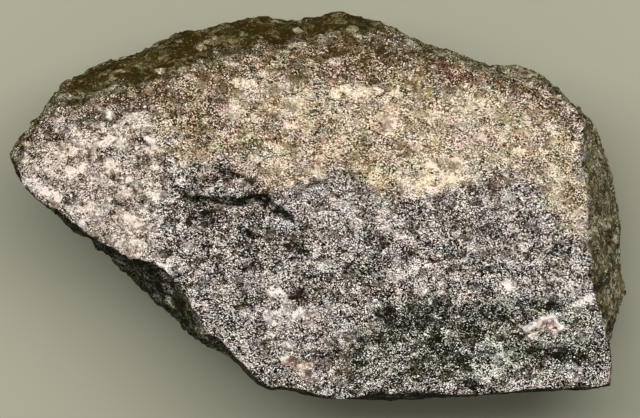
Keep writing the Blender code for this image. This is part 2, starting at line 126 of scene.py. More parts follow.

# Broad soft places that are darker or paler than the ground round them, with painted shade in the thin dark
# strips along the lower edge:
# x, y, length, width, turn in degrees, and how much tone they add.
DARK_GROUND_AND_EDGE_SHADE = (
    (-15.2, -3.4, 19.2, 10.2, -15, -0.15), (-22.4, -4.3, 7.0, 7.0, 0, -0.08),
    (-3.5, -7.5, 7.0, 5.1, 0, -0.16), (4.8, -9.1, 17.6, 5.4, 12, -0.11),
    (17.6, -5.8, 11.2, 4.2, 0, -0.08), (-1.9, -13.9, 9.6, 8.0, 30, -0.09),
    (9.3, -15.7, 8.3, 6.4, 0, -0.16), (-14.7, -18.1, 7.4, 5.4, -35, -0.14),
    (-9.3, -25.8, 7.0, 4.5, -30, -0.13), (-20.8, -10.1, 4.5, 3.8, 0, -0.09),
    (-11.5, 16.2, 8.0, 3.5, 0, -0.11), (-15.2, 11.7, 9.0, 7.0, 0, -0.10),
    (-7.7, 13.9, 4.2, 3.8, 0, -0.14), (-17.3, 4.5, 6.7, 3.8, -10, -0.15),
    (-12.2, 4.0, 8.0, 4.2, -20, -0.16), (-0.6, 20.3, 7.0, 4.5, 0, -0.10),
    (-38.4, 13.4, 5.8, 4.2, 0, -0.13), (-44.5, 10.1, 5.1, 3.5, 0, -0.09),
    (-31.0, 17.8, 7.7, 2.9, 0, -0.11), (39.7, 15.2, 8.0, 4.8, -50, -0.20),
    (9.0, 11.5, 5.1, 3.8, 0, -0.09), (40.8, 2.2, 4.5, 4.2, 0, -0.09), (20.2, -20.6, 9.0, 5.4, 0, -0.09),
    (15.4, 0.2, 9.6, 2.9, 5, -0.08), (28.0, -3.4, 4.5, 3.5, 0, -0.09), (30.4, -9.4, 6.4, 3.2, 0, -0.07),
    # The thin strips from y -27.5 to -29.1 along the lower edge are painted shade.
    (-9.9, -15.8, 2.9, 4.2, 0, -0.10), (16.0, -29.1, 20.8, 1.6, 0, -0.12),
    (25.0, -28.3, 6.4, 2.6, 0, -0.12), (1.6, -28.6, 7.0, 2.6, 0, -0.13),
    (43.5, -23.2, 7.0, 3.5, -10, -0.07), (39.4, -27.5, 8.6, 2.2, 0, -0.07),
    (-8.0, 9.8, 24.0, 5.4, 0, -0.05), (-19.2, -9.0, 17.6, 9.0, -10, -0.09),
    (8.0, -7.4, 27.2, 11.2, 0, -0.06), (22.4, -18.7, 27.2, 10.6, 0, -0.13),
    (13.6, -25.3, 27.2, 6.1, 0, -0.05),
)
PALE_GROUND = (
    (-32.3, -2.1, 8.0, 6.4, -40, 0.15), (-43.8, 4.6, 6.4, 4.8, -70, 0.07),
    (-37.1, 9.8, 5.1, 3.8, 90, 0.14), (-30.4, 12.6, 5.8, 4.5, 80, 0.13),
    (-22.7, 12.0, 4.5, 3.5, 90, 0.20), (-27.5, 1.4, 10.2, 4.5, 80, 0.12), (-47.7, 7.0, 4.2, 3.5, 0, 0.10),
    (-35.2, 3.0, 20.8, 10.2, -30, 0.04), (-24.8, -8.5, 6.4, 3.2, -50, 0.11),
    (-6.1, 10.6, 3.5, 2.6, 0, 0.09), (4.8, -1.8, 4.5, 3.5, 90, 0.13), (9.9, -0.5, 5.8, 4.8, 30, 0.16),
    (9.3, 4.3, 7.0, 4.2, 15, 0.10), (-0.3, 0.6, 10.2, 6.7, 0, 0.05), (16.8, 7.0, 12.8, 4.8, 0, 0.10),
    (28.5, 7.8, 4.2, 3.5, 0, 0.09), (34.4, 3.0, 12.2, 4.5, -20, 0.09), (40.8, 9.4, 8.6, 4.2, -40, 0.08),
    (38.4, -1.0, 10.6, 5.1, -40, 0.09), (32.5, -3.0, 4.5, 3.5, 0, 0.08), (35.2, -5.8, 5.1, 3.5, 0, 0.06),
    (14.4, -10.6, 7.0, 4.5, -20, 0.13), (30.7, -13.1, 6.4, 3.8, -10, 0.24),
    (30.7, -21.0, 5.8, 3.2, 0, 0.10), (-9.3, -4.6, 4.5, 3.2, 0, 0.09), (39.2, -21.0, 10.2, 3.2, -5, 0.13),
    (40.0, -13.6, 9.6, 6.4, -60, 0.13), (41.6, -17.0, 4.5, 3.5, 0, 0.10),
    (-15.2, -13.3, 10.2, 3.5, -5, 0.06), (-5.9, -19.4, 5.1, 4.5, 0, 0.07),
    (-2.2, -25.8, 4.8, 3.5, -30, 0.15), (4.0, -26.6, 7.0, 2.9, 0, 0.05), (9.9, -26.6, 5.8, 5.4, 0, 0.10),
    (27.2, -26.6, 4.5, 3.8, 40, 0.07), (-27.2, 24.3, 5.8, 4.5, 30, 0.16),
    (16.8, 21.4, 5.1, 4.5, 30, 0.10), (13.6, 16.6, 4.5, 4.5, 0, 0.05), (31.2, 15.8, 4.5, 3.2, 0, 0.06),
    (32.0, 11.0, 4.8, 4.2, 0, 0.05), (3.2, 28.6, 10.2, 3.5, 0, 0.07), (1.6, 22.2, 5.1, 2.9, 0, 0.07),
    (-35.2, 19.0, 14.4, 3.5, 25, 0.09),
)
# Pale flakes with crisp outlines: the outline, how much paler it is, and how much more its edge is.
PALE_FLAKES = (
    (((-8.6, -13.0), (-8.0, -12.3), (-6.7, -12.6), (-5.8, -13.3), (-5.1, -14.2), (-4.6, -14.7),
      (-3.5, -15.2), (-2.9, -15.8), (-2.6, -16.6), (-2.1, -17.6), (-3.2, -17.4), (-4.0, -17.8),
      (-4.5, -18.7), (-6.1, -19.2), (-6.4, -20.0), (-7.0, -20.3), (-8.0, -20.2), (-8.2, -19.5),
      (-7.0, -18.9), (-7.8, -18.6), (-8.8, -17.9), (-9.4, -17.0), (-9.0, -16.2), (-8.0, -16.0),
      (-6.6, -16.2), (-6.2, -15.4), (-6.6, -14.7), (-7.7, -14.2), (-8.5, -13.8)), 0.34, 0.06),
    (((-22.2, -5.6), (-21.6, -5.0), (-20.3, -4.8), (-19.4, -5.4), (-19.2, -6.4), (-20.2, -7.0),
      (-21.3, -6.9), (-22.1, -6.4)), 0.27, 0.06),
    (((1.6, 1.0), (2.2, 1.8), (3.2, 1.4), (4.2, 1.0), (5.3, 0.6), (6.4, -0.2), (6.1, -0.8), (4.8, -0.8),
      (3.8, -0.3), (2.7, 0.0)), 0.33, 0.06),
    (((4.8, -1.3), (5.8, -1.0), (6.7, -1.8), (7.0, -2.7), (6.1, -3.4), (5.1, -2.9), (4.6, -2.1)),
     0.29, 0.06),
    (((-6.4, -24.2), (-5.4, -23.5), (-3.7, -23.4), (-1.9, -23.8), (-1.0, -25.0), (-0.8, -26.4),
      (-1.9, -27.4), (-3.2, -27.0), (-4.8, -26.2), (-5.9, -25.3)), 0.06, 0.24),
    (((-13.1, -16.3), (-12.2, -16.0), (-11.2, -16.6), (-11.7, -17.4), (-12.8, -17.3)), 0.28, 0.04),
    (((-37.8, 10.4), (-36.8, 11.2), (-35.5, 11.4), (-35.0, 10.2), (-35.2, 8.8), (-36.2, 8.2),
      (-37.3, 8.5), (-37.9, 9.4)), -0.04, 0.28),
    (((-29.9, 10.1), (-28.8, 10.6), (-27.2, 10.2), (-26.2, 9.6), (-27.2, 8.8), (-28.6, 8.6),
      (-29.6, 9.1)), 0.08, 0.2),
    (((-32.6, 11.4), (-32.0, 11.8), (-31.4, 11.4), (-31.4, 10.2), (-32.0, 9.8), (-32.6, 10.4)), 0.14, 0.14),
    (((-31.7, -0.3), (-30.9, 0.2), (-30.2, -0.5), (-30.6, -1.4), (-31.5, -1.3)), 0.08, 0.08),
    (((-29.1, -2.4), (-27.8, -1.9), (-26.2, -2.4), (-25.3, -3.2), (-26.4, -3.5), (-28.0, -3.2)),
     0.12, 0.06),
    (((-34.6, 7.5), (-33.4, 8.2), (-32.3, 7.4), (-32.6, 6.1), (-33.9, 5.9), (-34.7, 6.6)), 0.02, 0.12),
    (((-30.4, 5.0), (-29.0, 5.4), (-28.0, 4.5), (-28.6, 3.4), (-30.1, 3.5)), 0.04, 0.1),
    (((-17.6, 21.6), (-16.8, 21.9), (-15.8, 21.4), (-16.2, 20.6), (-17.3, 20.8)), 0.14, 0.04),
    (((-16.8, 16.2), (-15.5, 16.8), (-13.9, 16.3), (-12.6, 15.5), (-13.3, 14.6), (-14.9, 14.9),
      (-16.3, 15.0)), 0.1, 0.06),
    (((-12.3, 13.6), (-11.2, 14.4), (-9.9, 13.9), (-9.3, 12.5), (-10.2, 11.2), (-11.5, 11.5)), 0.08, 0.06),
    (((-6.1, 13.9), (-5.3, 14.4), (-4.6, 13.8), (-5.0, 12.8), (-5.8, 13.0)), 0.12, 0.04),
    (((-6.7, 17.4), (-5.1, 18.2), (-3.2, 17.8), (-2.2, 16.5), (-3.2, 15.2), (-5.1, 15.2), (-6.4, 16.2)),
     0.08, 0.04),
    (((4.0, 18.7), (5.8, 19.2), (8.0, 18.9), (9.0, 17.9), (7.4, 17.1), (5.1, 17.3)), 0.08, 0.04),
    (((9.6, 15.4), (10.9, 16.0), (12.5, 15.4), (13.0, 14.1), (11.8, 13.0), (10.2, 13.6)), 0.07, 0.05),
    (((17.6, 8.2), (19.8, 8.6), (22.1, 7.8), (23.4, 6.6), (21.8, 5.3), (19.2, 5.9), (17.6, 6.9)),
     0.08, 0.04),
    (((41.6, -20.0), (42.6, -19.7), (43.2, -20.3), (43.0, -21.1), (42.1, -21.3), (41.4, -20.8)),
     0.14, 0.06),
    (((28.0, -23.5), (29.0, -23.2), (29.8, -23.8), (29.1, -24.6), (28.2, -24.3)), 0.16, 0.04),
)
# Pale spots where quartz is crushed or milky: x, y, length, width, turn in degrees, strength.
PALE_SPOTS = (
    (-0.8, -16.6, 4.6, 2.2, 10, 0.5), (34.0, -20.3, 2.6, 1.4, -20, 0.6),
    (36.6, -21.4, 2.0, 1.5, 30, 0.5), (39.6, -17.6, 2.4, 1.1, -30, 0.5), (41.7, -18.6, 1.3, 3.0, -15, 0.5),
    (-12.0, -16.8, 2.2, 1.4, 0, 0.7), (-24.8, -9.6, 3.4, 1.0, -40, 1.2), (-38.0, -2.4, 2.0, 1.2, -40, 1.2),
    (-13.4, 3.6, 5.2, 1.8, 0, 0.9), (19.2, 5.0, 11.5, 5.0, 18, 0.5), (28.4, -23.6, 2.2, 1.4, 0, 0.9),
    (28.2, -24.6, 6.6, 1.5, 58, 0.9),
    (-14.8, 15.7, 3.8, 1.8, 0, 0.6), (-10.8, 12.9, 2.6, 2.8, 20, 0.5),
    (-12.4, 20.4, 5.6, 1.6, 4, 0.5), (-4.4, 16.6, 4.2, 3.2, 0, 0.45), (6.8, 18.1, 3.8, 1.6, 0, 0.5),
    (11.2, 14.8, 3.2, 2.4, 0, 0.5), (-27.2, 19.2, 1.6, 1.2, 0, 0.8), (-13.8, 23.0, 2.0, 0.8, 10, 1.0),
    (7.8, 30.7, 1.2, 0.6, 0, 0.9), (35.2, 21.9, 1.2, 0.8, -40, 0.9), (40.0, 17.6, 3.2, 1.0, -50, 0.9),
    (43.2, 14.6, 1.2, 1.0, 0, 0.8),
)
# Dark spots, read in the same way.
DARK_SPOTS = (
    (14.0, 0.9, 3.4, 1.2, 0, 0.8), (28.4, 3.8, 4.2, 2.2, 0, 0.7), (23.6, -2.8, 3.0, 1.8, 0, 0.5),
    (25.6, -18.9, 6.6, 2.6, 0, 0.7), (34.8, -15.5, 7.4, 1.9, 0, 0.7), (18.4, -20.5, 2.6, 2.4, 0, 0.9),
    (40.0, -23.6, 10.6, 2.4, -8, 0.3), (41.4, -21.1, 1.4, 0.9, 0, 0.9), (-20.0, -1.0, 7.0, 4.0, 0, 0.35),
    (-9.0, -0.6, 6.4, 3.0, -30, 0.35), (1.8, -21.8, 3.4, 1.9, -20, 0.5), (6.0, 4.0, 8.0, 2.4, 0, 0.35),
    (-14.6, 6.4, 5.6, 2.0, -20, 0.8), (-10.6, 4.5, 3.8, 1.5, -45, 0.8), (-18.6, 6.8, 5.0, 1.6, 0, 0.5),
    (2.8, 5.5, 4.8, 1.3, 5, 0.9), (-1.0, 4.0, 3.8, 0.9, 30, 0.7), (38.0, -23.2, 11.0, 2.6, -8, 0.7),
    (-23.6, -5.0, 3.0, 2.4, 0, 0.5), (-6.4, -5.4, 5.0, 1.2, -20, 0.5), (-12.4, -3.6, 3.4, 1.2, -15, 0.7),
)
# Broad places where the grains differ less, read in the same way.
CALM_GROUND = ((3.2, -22.0, 26.0, 13.0, -10, 0.25), (0.0, 23.0, 44.0, 9.0, 0, 0.15))
# A small yellow speck on the stained ground: x, y, length, width, turn in degrees, red, yellow.
HUE_SPOTS = (
    (17.6, 19.2, 1.3, 1.0, 0, -0.016, 0.118),
)
# The crisp upper edge of a pale pointed chip that stands out of the low ground, from left to right.
CHIP_EDGE = (
    (32.2, -18.7), (33.5, -18.1), (34.7, -17.9), (35.2, -17.4), (35.8, -17.2), (36.4, -17.3), (37.0, -17.0),
    (37.6, -17.0), (38.1, -17.3), (38.0, -17.7), (38.4, -18.4), (39.0, -18.9),
)
# Brown spots of iron oxide, read in the same way.
IRON_SPOTS = (
    (-3.4, -25.2, 4.8, 2.6, -20, 0.9), (-2.0, -14.6, 3.0, 1.6, 0, 0.7), (3.4, -25.0, 3.4, 2.2, 0, 0.4),
    (2.6, -23.8, 8.4, 6.4, 0, 0.15), (-17.6, 6.0, 5.6, 2.6, 0, 0.5), (28.0, 3.9, 3.6, 2.0, 0, 0.6),
    (-27.5, 22.6, 0.9, 0.7, 0, 1.0), (-36.0, 9.4, 1.8, 1.2, 0, 0.6), (-26.6, 9.4, 2.0, 1.2, 0, 0.5),
)


def linear(code):
    """Turns an sRGB hex colour into Blender's linear one."""
    parts = [int(code[i:i + 2], 16) / 255 for i in (0, 2, 4)]
    return tuple(p / 12.92 if p <= 0.04045 else ((p + 0.055) / 1.055) ** 2.4 for p in parts)


class QuartziteRelief(bpy.types.PropertyGroup):
    """Sizes of the broken surface."""

    chip_sizes: bpy.props.FloatVectorProperty(
        name="Chip widths", description="Widths of the small, middle and large flat chips of the fracture",
        default=(1.0 * MM, 2.3 * MM, 4.8 * MM), size=3, unit="LENGTH", precision=5)
    chip_leans: bpy.props.FloatVectorProperty(
        name="Chip slopes", description="How steeply the small, middle and large chips lean",
        default=(0.16, 0.12, 0.07), size=3)
    side_gain: bpy.props.FloatProperty(
        name="Rougher sides", description="How much rougher the sides are than the face", default=1.1)
    crease_from: bpy.props.FloatProperty(
        name="Sharp edge", description="Bend from which an edge of the solid stays sharp",
        default=math.radians(38), subtype="ANGLE")


class QuartziteGrains(bpy.types.PropertyGroup):
    """Sand grains, the crumbs and flakes they break in, and how much all of these differ in tone."""

    # A grain this wide is a pixel and a quarter in the picture, which is as fine as it can show.
    width: bpy.props.FloatProperty(
        name="Sand grain", description="Width of a sand grain", default=0.2 * MM,
        unit="LENGTH", precision=5)
    fine_width: bpy.props.FloatProperty(
        name="Fine grain", description="Width of the smaller grains as a share of the large ones",
        default=0.75)
    coarse_share: bpy.props.FloatProperty(
        name="Large grains", description="How much the large grains differ in tone", default=0.5)
    fine_share: bpy.props.FloatProperty(
        name="Small grains", description="How much the small grains differ in tone", default=0.9)
    rim_share: bpy.props.FloatProperty(
        name="Grain rims", description="How much darker the cement round a grain is", default=1.2)
    crumb_width: bpy.props.FloatProperty(
        name="Crumb", description="Width of a crumb of a few grains", default=0.6 * MM,
        unit="LENGTH", precision=5)
    crumb_share: bpy.props.FloatProperty(
        name="Crumbs", description="How much crumbs differ in tone", default=0.17)
    flake_width: bpy.props.FloatProperty(
        name="Flake", description="Width of a small flake", default=1.4 * MM, unit="LENGTH", precision=5)
    flake_share: bpy.props.FloatProperty(
        name="Flakes", description="How much flakes differ in tone", default=0.16)
    crushed_share: bpy.props.FloatProperty(
        name="Crushed flakes", description="How much paler the few crushed flakes are", default=0.38)
    patch_width: bpy.props.FloatProperty(
        name="Patch", description="Width of a patch of like flakes", default=3.2 * MM,
        unit="LENGTH", precision=5)
    patch_share: bpy.props.FloatProperty(
        name="Patches", description="How much patches differ in tone", default=0.18)
    contrast: bpy.props.FloatProperty(
        name="Contrast", description="Spread of the tones as the eye sees them", default=0.61)
    unevenness: bpy.props.FloatProperty(
        name="Smooth flakes", description="How much smoother some flakes are than others", default=0.75)
    hue_width: bpy.props.FloatProperty(
        name="Hue", description="Width of a place of like hue", default=2.4 * MM,
        unit="LENGTH", precision=5)
    hue_share: bpy.props.FloatProperty(
        name="Hues", description="How much places differ in hue", default=0.014)
    draw: bpy.props.FloatProperty(
        name="Drawing out", description="How much longer grains and flakes are along the bedding",
        default=1.18)
    bedding: bpy.props.FloatProperty(
        name="Bedding", description="How far the bedding drops to the right",
        default=math.radians(15), subtype="ANGLE")
    bump: bpy.props.FloatProperty(
        name="Grain relief", description="Height of a grain over its cement", default=0.12 * MM,
        unit="LENGTH", precision=5)
    glint: bpy.props.FloatProperty(name="Glint", description="Gloss of the broken grains", default=0.05)


class QuartziteColours(bpy.types.PropertyGroup):
    """Colours of the quartz and of what stains it; the rind, haze and olive skin are darkened partly as
    painted shade, and the crack film is painted shade.
    """

    fresh: bpy.props.FloatVectorProperty(
        name="Fresh quartzite", description="Purple grey of the newly broken stone",
        default=linear("786f67"), size=3, subtype="COLOR")
    milky: bpy.props.FloatVectorProperty(
        name="Milky quartz", description="Pale end with more milky grains",
        default=linear("a5978a"), size=3, subtype="COLOR")
    limonite: bpy.props.FloatVectorProperty(
        name="Limonite stain", description="Yellow cream of iron hydroxide between the grains",
        default=linear("b09f87"), size=3, subtype="COLOR")
    # Partly painted shade: the sides that face away are darker than their weathered skin alone.
    rind_and_shade: bpy.props.FloatVectorProperty(
        name="Weathered rind", description="Olive brown skin of the old sides",
        default=linear("6c6347"), size=3, subtype="COLOR")
    # Partly painted shade: darker where the face slopes towards the top rim.
    haze_and_shade: bpy.props.FloatVectorProperty(
        name="Brown haze", description="Grey brown weathering over the stain",
        default=linear("6e5c43"), size=3, subtype="COLOR")
    # Partly painted shade: the steep rim is darker than its olive skin alone.
    olive_and_shade: bpy.props.FloatVectorProperty(
        name="Olive skin", description="Dark skin of the steep rim",
        default=linear("3c3210"), size=3, subtype="COLOR")
    chlorite: bpy.props.FloatVectorProperty(
        name="Chlorite", description="Grey green of the low ground",
        default=linear("4e4c40"), size=3, subtype="COLOR")
    iron: bpy.props.FloatVectorProperty(
        name="Iron oxide", description="Red brown spots",
        default=linear("6f5b4b"), size=3, subtype="COLOR")
    # Painted shade: the greenish black that darkens the cracks and the undercut lower sides.
    painted_shade: bpy.props.FloatVectorProperty(
        name="Crack film", description="Greenish black film in cracks and on the undercut sides",
        default=linear("181b0f"), size=3, subtype="COLOR")


class QuartziteStage(bpy.types.PropertyGroup):
    """The floor and the light."""

    floor: bpy.props.FloatVectorProperty(
        name="Floor", description="Pale grey green card", default=linear("969684"), size=3, subtype="COLOR")
    key_power: bpy.props.FloatProperty(name="Lamp power", description="Power of the long lamp", default=9.0)
    key_height: bpy.props.FloatProperty(
        name="Lamp height", description="Angle of the lamp above the floor",
        default=math.radians(75), subtype="ANGLE")
    key_distance: bpy.props.FloatProperty(
        name="Lamp distance", description="From the stone to the lamp", default=0.8, unit="LENGTH")
    key_length: bpy.props.FloatProperty(
        name="Lamp length", description="Length of the lamp along the stone", default=1.2, unit="LENGTH")
    key_width: bpy.props.FloatProperty(
        name="Lamp width", description="Width of the lamp's window", default=0.35, unit="LENGTH")
    sky_height: bpy.props.FloatProperty(
        name="Brightest sky", description="Height of the brightest part of the soft light",
        default=math.radians(84), subtype="ANGLE")
    sky_narrow: bpy.props.FloatProperty(
        name="Sky gathering", description="How much the soft light gathers round its brightest part",
        default=2.0)
    fill: bpy.props.FloatProperty(
        name="Room light", description="Strength of the light that comes from everywhere", default=0.55)


def lot(cubes, seed):
    """A repeatable random number from 0 to 1 for each cube, which is three whole numbers."""
    x, y, z = (cubes[..., axis].astype(np.int64).astype(np.uint64) for axis in range(3))
    word = np.uint64(0xFFFFFFFF)
    mixed = (x * np.uint64(374761393) + y * np.uint64(668265263) + z * np.uint64(2147483629)
             + np.uint64(seed * 1274126177)) & word
    mixed = ((mixed ^ (mixed >> np.uint64(13))) * np.uint64(1274126177)) & word
    mixed = ((mixed ^ (mixed >> np.uint64(16))) * np.uint64(668265263)) & word
    return ((mixed ^ (mixed >> np.uint64(15))) & word).astype(float) / float(0xFFFFFFFF)


def soft_noise(points, size, seed):
    """Smooth noise from about -1 to 1 with lumps size mm across."""
    where = points / size + 50.0
    cube = np.floor(where)
    part = where - cube
    part = part * part * (3 - 2 * part)
    total = np.zeros(len(points))
    for corner in itertools.product((0, 1), repeat=3):
        share = np.prod(np.where(np.array(corner, bool), part, 1 - part), axis=1)
        total += share * lot(cube + corner, seed)
    return total * 2 - 1


def layered_noise(points, size, seed, layers=3):
    """Soft noise with finer and weaker layers on it."""
    total = np.zeros(len(points))
    for layer in range(layers):
        turned = points[:, [1, 2, 0]] if layer % 2 else points
        total += soft_noise(turned, size / 2 ** layer, seed + layer) / 1.8 ** layer
    return total


def chip_height(points, size, lean, seed):
    """Height of flat chips size mm across, each leaning its own way, with rims where they meet."""
    where = points / size + 50.0
    cube = np.floor(where)
    nearest = np.full(len(points), 9.0)
    second = np.full(len(points), 9.0)
    height = np.zeros(len(points))
    for step in itertools.product((-1, 0, 1), repeat=3):
        other = cube + step
        gap = where - other - np.stack([lot(other, seed + axis) for axis in range(3)], axis=1)
        reach = np.linalg.norm(gap, axis=1)
        tilt = np.stack([lot(other, seed + 3 + axis) for axis in range(3)], axis=1) * 2 - 1
        here = (gap * tilt).sum(axis=1) * lean * 1.5 + (lot(other, seed + 6) - 0.5) * lean * 0.7
        closer = reach < nearest
        second = np.where(closer, nearest, np.minimum(second, reach))
        nearest = np.where(closer, reach, nearest)
        height = np.where(closer, here, height)
    rim = np.clip((second - nearest) / 0.12, 0, 1)
    return height * rim * size


def smooth_rise(value, low, high):
    """0 below low, 1 above high and smooth between them."""
    share = np.clip((value - low) / (high - low), 0, 1)
    return share * share * (3 - 2 * share)


def line_gap(plan, line):
    """Distance of plan points from an open line, positive on its right as it is drawn.

    Also gives the share of the line's length where each point lies.
    """
    line = np.array(line, float)
    steps = np.linalg.norm(np.diff(line, axis=0), axis=1)
    begin = np.concatenate([[0], np.cumsum(steps)])
    best = np.full(len(plan), np.inf)
    side = np.zeros(len(plan))
    share = np.zeros(len(plan))
    for i, length in enumerate(steps):
        along = (line[i + 1] - line[i]) / length
        gap = plan - line[i]
        run = gap @ along
        held = np.clip(run, 0, length)
        reach = np.hypot(gap[:, 0] - held * along[0], gap[:, 1] - held * along[1])
        right = gap[:, 0] * along[1] - gap[:, 1] * along[0]
        closer = reach < best
        best = np.where(closer, reach, best)
        side = np.where(closer, np.sign(right), side)
        share = np.where(closer, (begin[i] + held) / begin[-1], share)
    return best * side, share


def ring_gap(plan, ring):
    """Distance of plan points from a closed line, negative inside it."""
    ring = np.array(ring, float)
    best = np.full(len(plan), np.inf)
    inside = np.zeros(len(plan), bool)
    for a, b in zip(ring, np.roll(ring, -1, axis=0)):
        along = b - a
        gap = plan - a
        held = np.clip(gap @ along / (along @ along), 0, 1)
        best = np.minimum(best, np.hypot(gap[:, 0] - held * along[0], gap[:, 1] - held * along[1]))
        crosses = (a[1] > plan[:, 1]) != (b[1] > plan[:, 1])
        rise = b[1] - a[1] if b[1] != a[1] else 1e-9
        inside ^= crosses & (plan[:, 0] < a[0] + (plan[:, 1] - a[1]) * along[0] / rise)
    return np.where(inside, -best, best)


def spots(plan, table, ragged, inner=0.65, outer=1.25):
    """The summed strength of oval spots with ragged edges.

    A spot is full to the inner share of its size and gone at the outer one.
    """
    total = np.zeros(len(plan))
    for x, y, length, width, turn, strength in table:
        angle = math.radians(turn)
        gap = plan - (x, y)
        u = (gap[:, 0] * math.cos(angle) + gap[:, 1] * math.sin(angle)) / (length / 2)
        v = (gap[:, 1] * math.cos(angle) - gap[:, 0] * math.sin(angle)) / (width / 2)
        total += strength * (1 - smooth_rise(np.hypot(u, v) + ragged * 0.35, inner, outer))
    return total


def fine_copy(node, crease_from):
    """A copy of the solid's mesh, its split points joined, sharp edges creased, each triangle cut in 24."""
    mesh = node.data.copy()
    solid = bmesh.new()
    solid.from_mesh(mesh)
    bmesh.ops.remove_doubles(solid, verts=solid.verts, dist=0.001 * MM)
    crease = solid.edges.layers.float.new("crease_edge")
    for edge in solid.edges:
        bend = edge.calc_face_angle(0.0)
        edge[crease] = min(1.0, max(0.0, (bend - crease_from) / math.radians(20)))
    solid.to_mesh(mesh)
    solid.free()
    if "sharp_face" in mesh.attributes:
        mesh.attributes.remove(mesh.attributes["sharp_face"])
    piece = bpy.data.objects.new("quartzite_stone", mesh)
    bpy.context.scene.collection.objects.link(piece)
    cut = piece.modifiers.new("finer faces", "SUBSURF")
    cut.levels = cut.render_levels = 2
    fine = bpy.data.meshes.new_from_object(piece.evaluated_get(bpy.context.evaluated_depsgraph_get()))
    piece.modifiers.clear()
    piece.data = fine
    return piece


def read_points(mesh):
    """Points and their normals, points in mm."""
    points = np.empty(len(mesh.vertices) * 3)
    mesh.vertices.foreach_get("co", points)
    normals = np.empty(len(mesh.vertices) * 3)
    mesh.vertex_normals.foreach_get("vector", normals)
    return points.reshape(-1, 3) / MM, normals.reshape(-1, 3)


def write_points(mesh, points):
    """Puts the points back, from mm."""
    mesh.vertices.foreach_set("co", (points * MM).ravel())
    mesh.update()


def write_mark(mesh, name, values):
    """Keeps one number per point on the mesh, for the material to read."""
    mark = mesh.attributes.new(name, "FLOAT", "POINT")
    mark.data.foreach_set("value", values.astype(np.float32))


